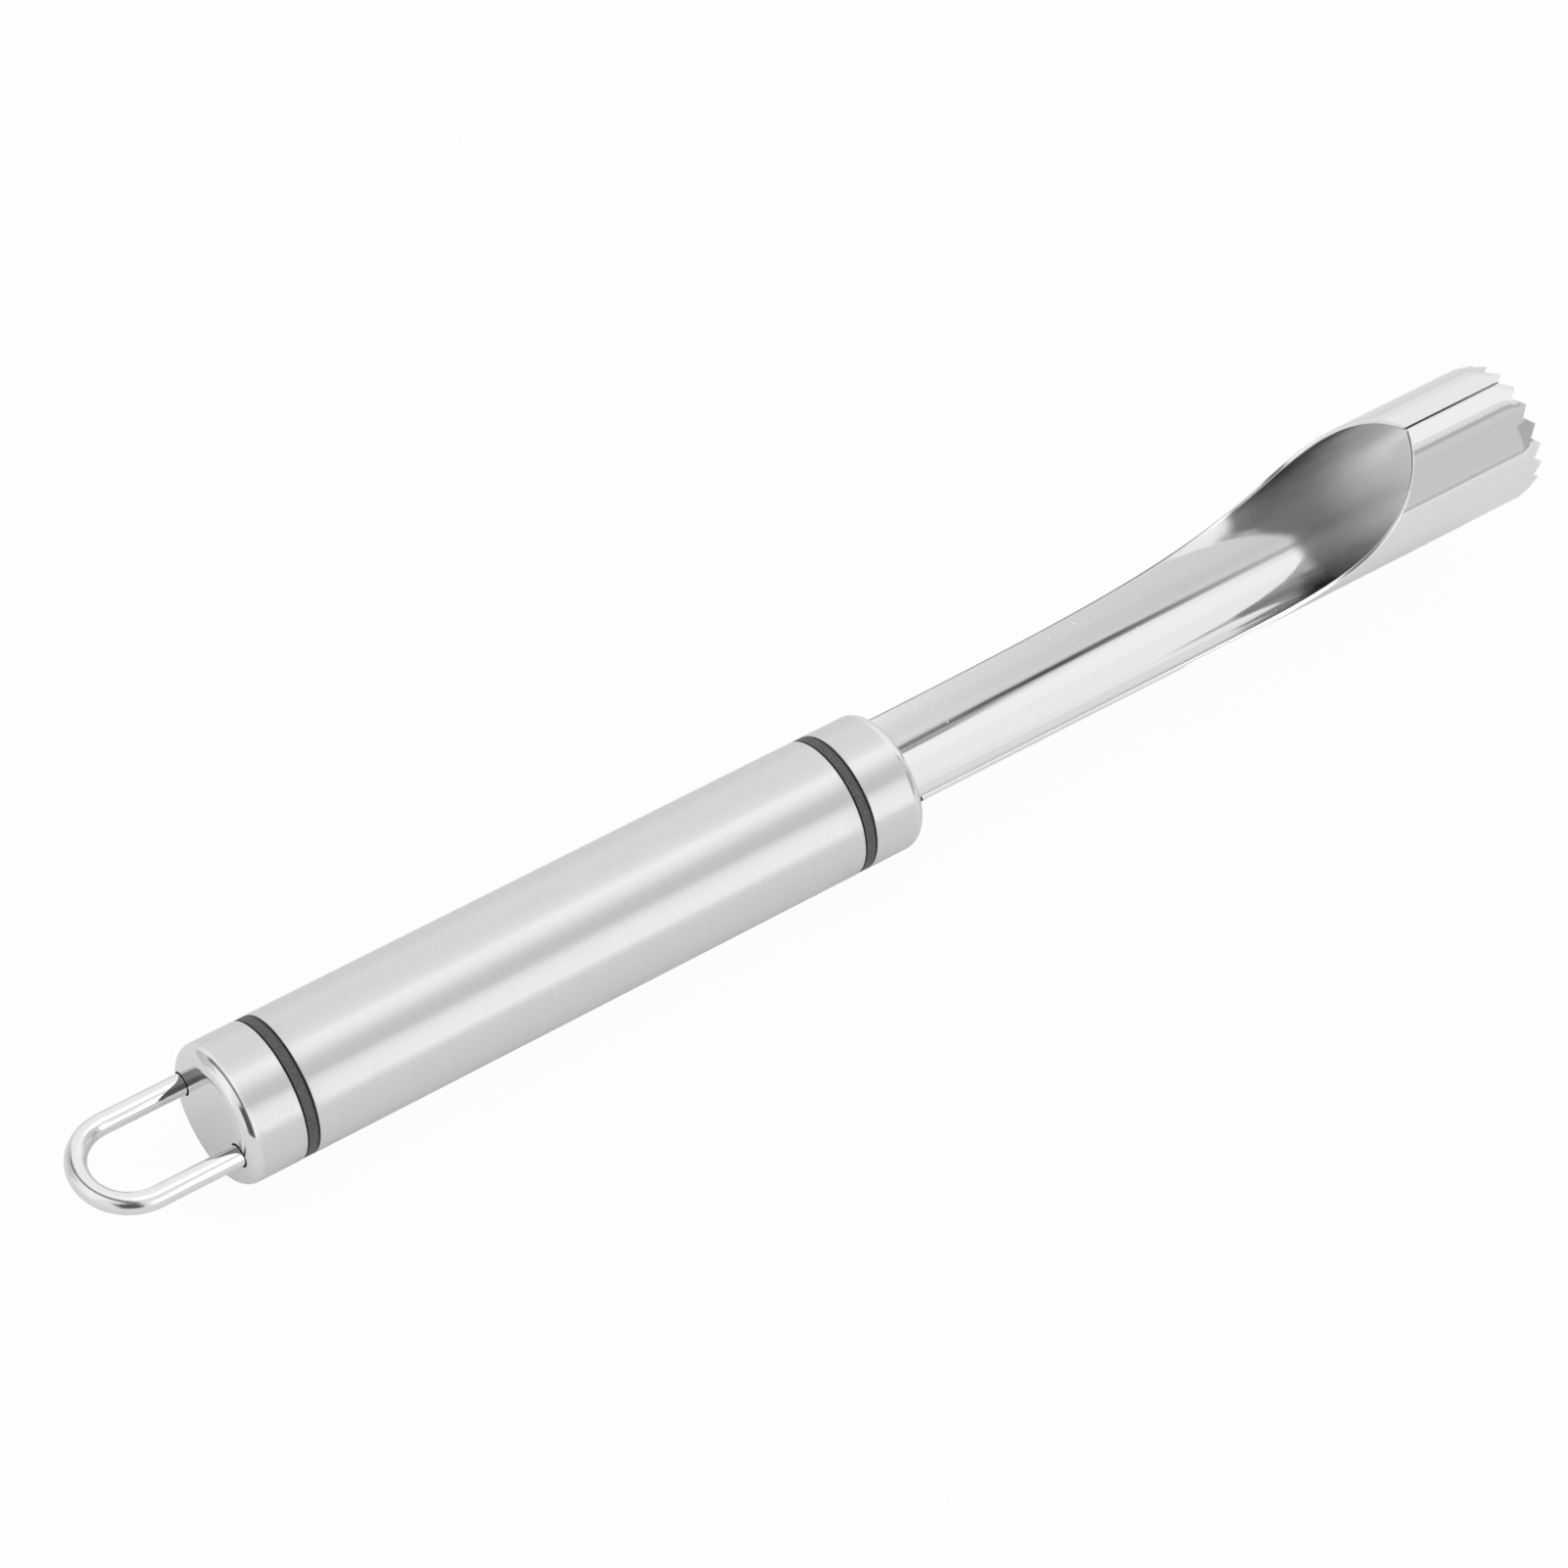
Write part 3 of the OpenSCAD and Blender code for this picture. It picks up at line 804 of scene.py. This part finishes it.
def loop_mesh(sizes):
    """The bent wire from one riveted head round the loop to the other."""
    bend_x = LOOP_LOW.x + sizes.wire_radius + LEG_Y
    head_height = LOOP_HIGH.x - LEG_END
    head = [(LEG_END + head_height * height, HEAD_RADIUS * share) for height, share in HEAD_PROFILE]
    path = [(x, -LEG_Y, -1.0, 0.0, radius) for x, radius in head]
    path += [(x, -LEG_Y, -1.0, 0.0, sizes.wire_radius) for x in evenly(LEG_END, bend_x, LEG_PARTS)[:-1]]
    for turn in evenly(0.0, math.pi, BEND_PARTS):
        sine, cosine = math.sin(turn), math.cos(turn)
        path.append((bend_x - LEG_Y * sine, -LEG_Y * cosine, -cosine, sine, sizes.wire_radius))
    path += [(x, LEG_Y, 1.0, 0.0, sizes.wire_radius) for x in evenly(bend_x, LEG_END, LEG_PARTS)[1:]]
    path += [(x, LEG_Y, 1.0, 0.0, radius) for x, radius in reversed(head)]
    points, rings = [], []
    for x, y, ahead_x, ahead_y, radius in path:
        count = 1 if radius == 0.0 else WIRE_STEPS
        rings.append(range(len(points), len(points) + count))
        for i in range(count):
            turn = 2 * math.pi * i / WIRE_STEPS
            side = radius * math.cos(turn)
            points.append((x - ahead_y * side, y + ahead_x * side, HANDLE_Z + radius * math.sin(turn)))
    return points, flipped(join_rings(zip(rings, rings[1:]), WIRE_STEPS))


# Operators


class CORER_OT_handle_tube(bpy.types.Operator):
    """Builds the handle's brushed tube"""

    bl_idname = "corer.handle_tube"
    bl_label = "Handle Tube"

    def execute(self, context):
        sizes, finish = context.scene.corer_handle, context.scene.corer_finish
        inner, outer = sizes.radius - sizes.wall, sizes.radius
        outline = sleeve_outline(TUBE_LOW.x, TUBE_HIGH.x, inner, outer, sizes.edge, TUBE_PARTS)
        steel = satin_steel("satin_tube", finish.satin, TUBE_LOW.x - FAR_OFF, TUBE_HIGH.x + FAR_OFF)
        make_piece("brushed_tube", *lathe(outline, HANDLE_Z), steel, "satin_steel", "handle_tube")
        return {"FINISHED"}


class CORER_OT_end_pieces(bpy.types.Operator):
    """Builds the rear cap with its two holes and the front collar with its slot"""

    bl_idname = "corer.end_pieces"
    bl_label = "End Pieces"

    def execute(self, context):
        scene = context.scene
        sizes, blade, finish = scene.corer_handle, scene.corer_blade, scene.corer_finish
        shoulders = (CAP_LOW.x + sizes.shoulder, COLLAR_HIGH.x - sizes.shoulder)
        steel = satin_steel("satin_ends", finish.satin, *shoulders)
        outline = cup_outline(CAP_LOW.x, CAP_HIGH.x, sizes.radius, sizes.wall, sizes.shoulder, sizes.edge)
        cap = make_piece("pressed_cap", *lathe(outline, HANDLE_Z, closed=False), steel, "satin_steel", "rear_cap")
        hole = sizes.wire_radius + sizes.leg_gap
        ends = (CAP_LOW.x - CUTTER_REACH, CAP_LOW.x + sizes.wall + sizes.shoulder)
        cut(cap, [rod(*ends, side * LEG_Y, HANDLE_Z, hole) for side in (-1, 1)])

        outline = cup_outline(COLLAR_HIGH.x, COLLAR_LOW.x, sizes.radius, sizes.wall, sizes.shoulder, sizes.edge)
        points, faces = lathe(outline, HANDLE_Z, closed=False)
        collar = make_piece("pressed_collar", points, flipped(faces), steel, "satin_steel", "front_collar")
        slot = strip(
            COLLAR_HIGH.x - sizes.wall - CUTTER_REACH,
            COLLAR_HIGH.x + CUTTER_REACH,
            BLADE_Z,
            BLADE_RADIUS - blade.sheet - SLOT_GAP,
            BLADE_RADIUS + SLOT_GAP,
            blade.tang_angle + SLOT_GAP / BLADE_RADIUS,
        )
        cut(collar, [slot])
        return {"FINISHED"}


class CORER_OT_rings(bpy.types.Operator):
    """Builds the two dark rings"""

    bl_idname = "corer.rings"
    bl_label = "Rings"

    def execute(self, context):
        sizes, finish = context.scene.corer_handle, context.scene.corer_finish
        boxes = {node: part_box(node) for node in ("rear_ring", "front_ring")}
        middles = [(low.x + high.x) / 2 for low, high in boxes.values()]
        low, high = boxes["rear_ring"]
        rubber = ring_rubber("ring_rubber", finish.ring, middles, (high.x - low.x) / 2)
        for node, (low, high) in boxes.items():
            inner, outer = sizes.radius - sizes.wall, sizes.radius - sizes.ring_sink
            outline = sleeve_outline(low.x, high.x, inner, outer, sizes.edge * RING_EDGE, RING_PARTS)
            make_piece("rubber_" + node, *lathe(outline, HANDLE_Z), rubber, "ring_rubber", node)
        return {"FINISHED"}


class CORER_OT_loop(bpy.types.Operator):
    """Builds the hanging loop of bent wire"""

    bl_idname = "corer.loop"
    bl_label = "Hanging Loop"

    def execute(self, context):
        sizes, finish = context.scene.corer_handle, context.scene.corer_finish
        bend_x = LOOP_LOW.x + sizes.wire_radius + LEG_Y
        steel = polished_steel("polished_wire", finish.polished, HANDLE_Z, bend=bend_x)
        make_piece("wire_loop", *loop_mesh(sizes), steel, "polished_steel", "hanging_loop")
        return {"FINISHED"}


class CORER_OT_blade(bpy.types.Operator):
    """Builds the rolled blade with its trough, scoop, seam and teeth"""

    bl_idname = "corer.blade"
    bl_label = "Blade"

    def execute(self, context):
        sizes, finish = context.scene.corer_blade, context.scene.corer_finish
        seam_x = BLADE_HIGH.x - sizes.seam
        marks = {"radius": BLADE_RADIUS - sizes.sheet / 2, "root": COLLAR_HIGH.x, "slit": sizes.slit}
        marks |= {"start": seam_x + DULL_ZONE[0], "end": seam_x + DULL_ZONE[1], "dull": finish.bore}
        steel = polished_steel("polished_sheet", finish.polished, BLADE_Z, marks=marks)
        make_piece("rolled_blade", *blade_mesh(sizes), steel, "polished_steel", "corer_blade")
        return {"FINISHED"}


class CORER_OT_inner_parts(bpy.types.Operator):
    """Finishes the parts inside the handle, which keep their CAD shapes"""

    bl_idname = "corer.inner_parts"
    bl_label = "Inner Parts"

    def execute(self, context):
        finish = context.scene.corer_finish
        nylon = moulded_nylon("moulded_nylon", finish.insert)
        plated = plated_steel("zinc_plating", finish.plated)
        given = {"rear_insert": nylon, "front_insert": nylon, "loop_plate": plated, "tang_pin": plated}
        for node, material in given.items():
            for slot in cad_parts[node].material_slots:
                slot.material = material
        return {"FINISHED"}


class CORER_OT_stage(bpy.types.Operator):
    """Sets up the pale floor, the studio light and the camera"""

    bl_idname = "corer.stage"
    bl_label = "Stage"

    def execute(self, context):
        floor_piece(context.scene.corer_finish.floor)
        studio_world(context.scene)
        studio_lamps()
        photo_camera(context.scene)
        context.scene.view_settings.view_transform = "Standard"
        return {"FINISHED"}


# Studio

# The floor's radius in metres, and how white the floor and the tent are made for the camera and for mirrored rays
FLOOR_RADIUS = 3.0
FLOOR_STEPS = 96
FLOOR_GLOW = 0.95
MIRRORED_GLOW = 0.1
WORLD_GLOW = 0.04

# Grey and dark parts of the tent: start and end by the angle round the part, in degrees from straight up towards the
# back, softness of these edges, place by x of the mirrored direction, and share of white. Two values of x are where a
# part begins and is full; three are its start, its end and their softness.
TENT_PARTS = {
    "front_edge": (-94.0, -85.0, 3.0, (0.48, 0.51), 0.82),
    "front_middle": (-80.0, -26.0, 8.0, None, 0.95),
    "front_step": (-12.0, 2.0, 3.0, (0.49, 0.51), 0.82),
    "upper_back": (28.0, 180.0, 10.0, None, 0.94),
    "lower_back": (74.0, 180.0, 16.0, None, 0.90),
    "boom": (-40.0, 58.0, 12.0, (-0.40, -0.14, 0.12), 0.19),
    "rear_screen": (44.0, 112.0, 14.0, (-0.75, -0.12, 0.12), 0.66),
    "lamp_stand": (-104.0, -36.0, 16.0, (-0.74, -0.20, 0.12), 0.07),
    "far_middle_screen": (92.0, 132.0, 16.0, (0.57, 0.63), 0.78),
    "far_low_screen": (-90.0, -46.0, 8.0, (0.57, 0.63), 0.72),
}

# The open front: its start, end and softness round the part, and its share of white from the handle to the blade
OPEN_FRONT = (-96.0, -9.0, 3.0)
OPEN_FRONT_SHARE = (0.38, 0.50, 0.88, 0.66)

# The dark bar by x of the mirrored direction, each as two x and the values there: its angle round the part, how much
# narrower it gets, half the width of its darkest part, and its share of white. BAR_START is where it begins.
BAR_TURN = (0.432, 0.473, -0.6, -10.5)
BAR_SCALE = (0.446, 0.462, 0.82, 1.08)
BAR_CORE = (0.446, 0.462, 4.8, 3.0)
BAR_SHARE = (0.472, 0.502, 0.0, 0.8)
BAR_START = (0.385, 0.452)
BAR_HALF_WIDTH = 6.5

# Lamps: angle round the part, place along it, width, length and power
LAMPS = {
    "lamp_low": (-73.0, 0.17, 0.52, 0.70, 0.32),
    "lamp_high": (-4.0, 0.17, 0.52, 0.48, 0.20),
    "strip_low": (-66.0, 0.35, 0.22, 0.66, 0.84),
    "strip_high": (-3.0, 0.35, 0.22, 0.48, 0.24),
}
LAMP_DISTANCE = 0.9
LAMP_MIDDLE = (-0.04, 0.0, HANDLE_Z)

CAMERA_PLACE = (-0.33075, -0.3898, 0.6010)
CAMERA_RIGHT = (0.81108, -0.58177, 0.0608)
CAMERA_BACK = (-0.4192, -0.5056, 0.7541)
CAMERA_LENS = 132.44
CAMERA_SENSOR = 36.0


def floor_piece(colour):
    """A wide pale disc under the part, nearly white to the eye, that keeps a soft shadow."""
    turns = [2 * math.pi * i / FLOOR_STEPS for i in range(FLOOR_STEPS)]
    points = [(FLOOR_RADIUS * math.cos(turn), FLOOR_RADIUS * math.sin(turn), 0.0) for turn in turns]
    mesh = new_mesh("studio_floor", points, [tuple(range(FLOOR_STEPS))])
    material, recipe = new_material("floor_paper")
    tooth = recipe.noise(recipe.coordinates(), 900.0, 3.0)
    shade = recipe.mix(tooth, tinted(colour, 0.99), tinted(colour))
    matt = recipe.add("ShaderNodeBsdfDiffuse", Color=shade)
    glow = recipe.add("ShaderNodeEmission", Color=grey(1.0), Strength=1.0)
    path = recipe.add("ShaderNodeLightPath").outputs
    seen = recipe.product(path["Is Camera Ray"], FLOOR_GLOW)
    mirrored = recipe.math("MAXIMUM", path["Is Glossy Ray"], path["Is Transmission Ray"])
    share = recipe.math("MAXIMUM", seen, recipe.product(mirrored, MIRRORED_GLOW))
    mixed = recipe.add("ShaderNodeMixShader", _0=share, _1=matt.outputs[0], _2=glow.outputs[0])
    recipe.add("ShaderNodeOutputMaterial", Surface=mixed.outputs[0])
    mesh.materials.append(material)
    made = new_object("studio_floor", mesh)


def between(recipe, value, start, end, soft):
    """1 from the start to the end and 0 outside, with soft edges."""
    begun = recipe.spread(value, start - soft / 2, start + soft / 2)
    return recipe.product(begun, recipe.spread(value, end + soft / 2, end - soft / 2))


def darken(recipe, level, part, share):
    """A level of light, taken down to a share of itself where the part is."""
    change = recipe.product(part, recipe.math("SUBTRACT", share, 1.0))
    return recipe.product(level, recipe.math("ADD", change, 1.0))


def dark_bar(recipe, turn, x):
    """The bar across the open front, which leans and narrows from the handle to the blade."""
    away = recipe.math("ABSOLUTE", recipe.math("SUBTRACT", turn, recipe.spread(x, *BAR_TURN)))
    away = recipe.product(away, recipe.spread(x, *BAR_SCALE))
    bar = recipe.spread(away, BAR_HALF_WIDTH, recipe.spread(x, *BAR_CORE))
    return recipe.product(bar, recipe.past(x, BAR_START))


def studio_world(scene):
    """A white tent. Its front is open and greyer under a dark bar, and past the part's rear end it is darker."""
    world = bpy.data.worlds.new("studio")
    scene.world = world
    world.use_nodes = True
    recipe = Recipe(world.node_tree)
    direction = recipe.add("ShaderNodeTexCoord").outputs["Generated"]
    x, y, z = recipe.add("ShaderNodeSeparateXYZ", _0=direction).outputs
    turn = recipe.product(recipe.math("ARCTAN2", y, z), 180 / math.pi)

    level = darken(recipe, 1.0, between(recipe, turn, *OPEN_FRONT), recipe.spread(x, *OPEN_FRONT_SHARE))
    level = darken(recipe, level, dark_bar(recipe, turn, x), recipe.spread(x, *BAR_SHARE))
    for start, end, soft, where, share in TENT_PARTS.values():
        part = between(recipe, turn, start, end, soft)
        if where:
            part = recipe.product(part, recipe.past(x, where) if len(where) == 2 else between(recipe, x, *where))
        level = darken(recipe, level, part, share)

    tent = recipe.add("ShaderNodeCombineColor", _0=level, _1=level, _2=level).outputs[0]
    path = recipe.add("ShaderNodeLightPath").outputs
    seen = recipe.math("MAXIMUM", path["Is Camera Ray"], path["Is Transmission Ray"])
    seen = recipe.math("MAXIMUM", seen, recipe.product(path["Is Glossy Ray"], WORLD_GLOW))
    background = recipe.add("ShaderNodeBackground", Color=recipe.mix(seen, tent, grey(1.0)), Strength=1.0)
    recipe.add("ShaderNodeOutputWorld", Surface=background.outputs[0])


def lamp(name, place_at, target, width, length, power):
    """A rectangular soft lamp that faces a target."""
    data = bpy.data.lights.new(name, "AREA")
    data.shape = "RECTANGLE"
    data.size, data.size_y = width, length
    data.energy = power
    made = new_object(name, data)
    made.location = place_at
    made.rotation_mode = "QUATERNION"
    made.rotation_quaternion = (target - place_at).to_track_quat("-Z", "Y")


def studio_lamps():
    """Two soft lamps beside the camera, each with a brighter strip. Their bands show along the brushed handle."""
    for name, (angle, along, width, length, power) in LAMPS.items():
        turn = math.radians(angle)
        target = Vector(LAMP_MIDDLE) + Vector((along, 0.0, 0.0))
        away = Vector((0.0, math.sin(turn), math.cos(turn))) * LAMP_DISTANCE
        lamp(name, target + away, target, width, length, power)


def photo_camera(scene):
    """The photograph's viewpoint: its place, its axes and its lens, from the handle's outline."""
    data = bpy.data.cameras.new("photo_camera")
    data.sensor_width = CAMERA_SENSOR
    data.lens = CAMERA_LENS
    made = new_object("photo_camera", data)
    back = Vector(CAMERA_BACK).normalized()
    up = back.cross(Vector(CAMERA_RIGHT).normalized()).normalized()
    turn = Matrix((up.cross(back), up, back)).transposed().to_4x4()
    made.matrix_world = Matrix.Translation(CAMERA_PLACE) @ turn
    scene.camera = made


# Add-on


class VIEW3D_PT_corer(bpy.types.Panel):
    """Lists the corer's sizes, colours and building steps"""

    bl_idname = "VIEW3D_PT_corer"
    bl_label = "Apple Corer"
    bl_space_type = "VIEW_3D"
    bl_region_type = "UI"
    bl_category = "Corer"

    def draw(self, context):
        for group in GROUPS:
            column = self.layout.column(align=True)
            sizes = getattr(context.scene, group)
            for name in sizes.bl_rna.properties.keys():
                if name not in {"rna_type", "name"}:
                    column.prop(sizes, name)
        column = self.layout.column(align=True)
        for operator in OPERATORS:
            column.operator(operator.bl_idname)


GROUPS = {"corer_handle": CorerHandleSizes, "corer_blade": CorerBladeSizes, "corer_finish": CorerFinish}
OPERATORS = (
    CORER_OT_handle_tube,
    CORER_OT_end_pieces,
    CORER_OT_rings,
    CORER_OT_loop,
    CORER_OT_blade,
    CORER_OT_inner_parts,
    CORER_OT_stage,
)


def register():
    for name, group in GROUPS.items():
        bpy.utils.register_class(group)
        setattr(bpy.types.Scene, name, bpy.props.PointerProperty(type=group))
    for entry in (*OPERATORS, VIEW3D_PT_corer):
        bpy.utils.register_class(entry)


def unregister():
    for entry in (VIEW3D_PT_corer, *reversed(OPERATORS)):
        bpy.utils.unregister_class(entry)
    for name, group in reversed(GROUPS.items()):
        delattr(bpy.types.Scene, name)
        bpy.utils.unregister_class(group)


def main():
    register()
    bpy.ops.corer.handle_tube()
    bpy.ops.corer.end_pieces()
    bpy.ops.corer.rings()
    bpy.ops.corer.loop()
    bpy.ops.corer.blade()
    bpy.ops.corer.inner_parts()
    bpy.ops.corer.stage()
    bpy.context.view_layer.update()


if __name__ == "__main__":
    main()
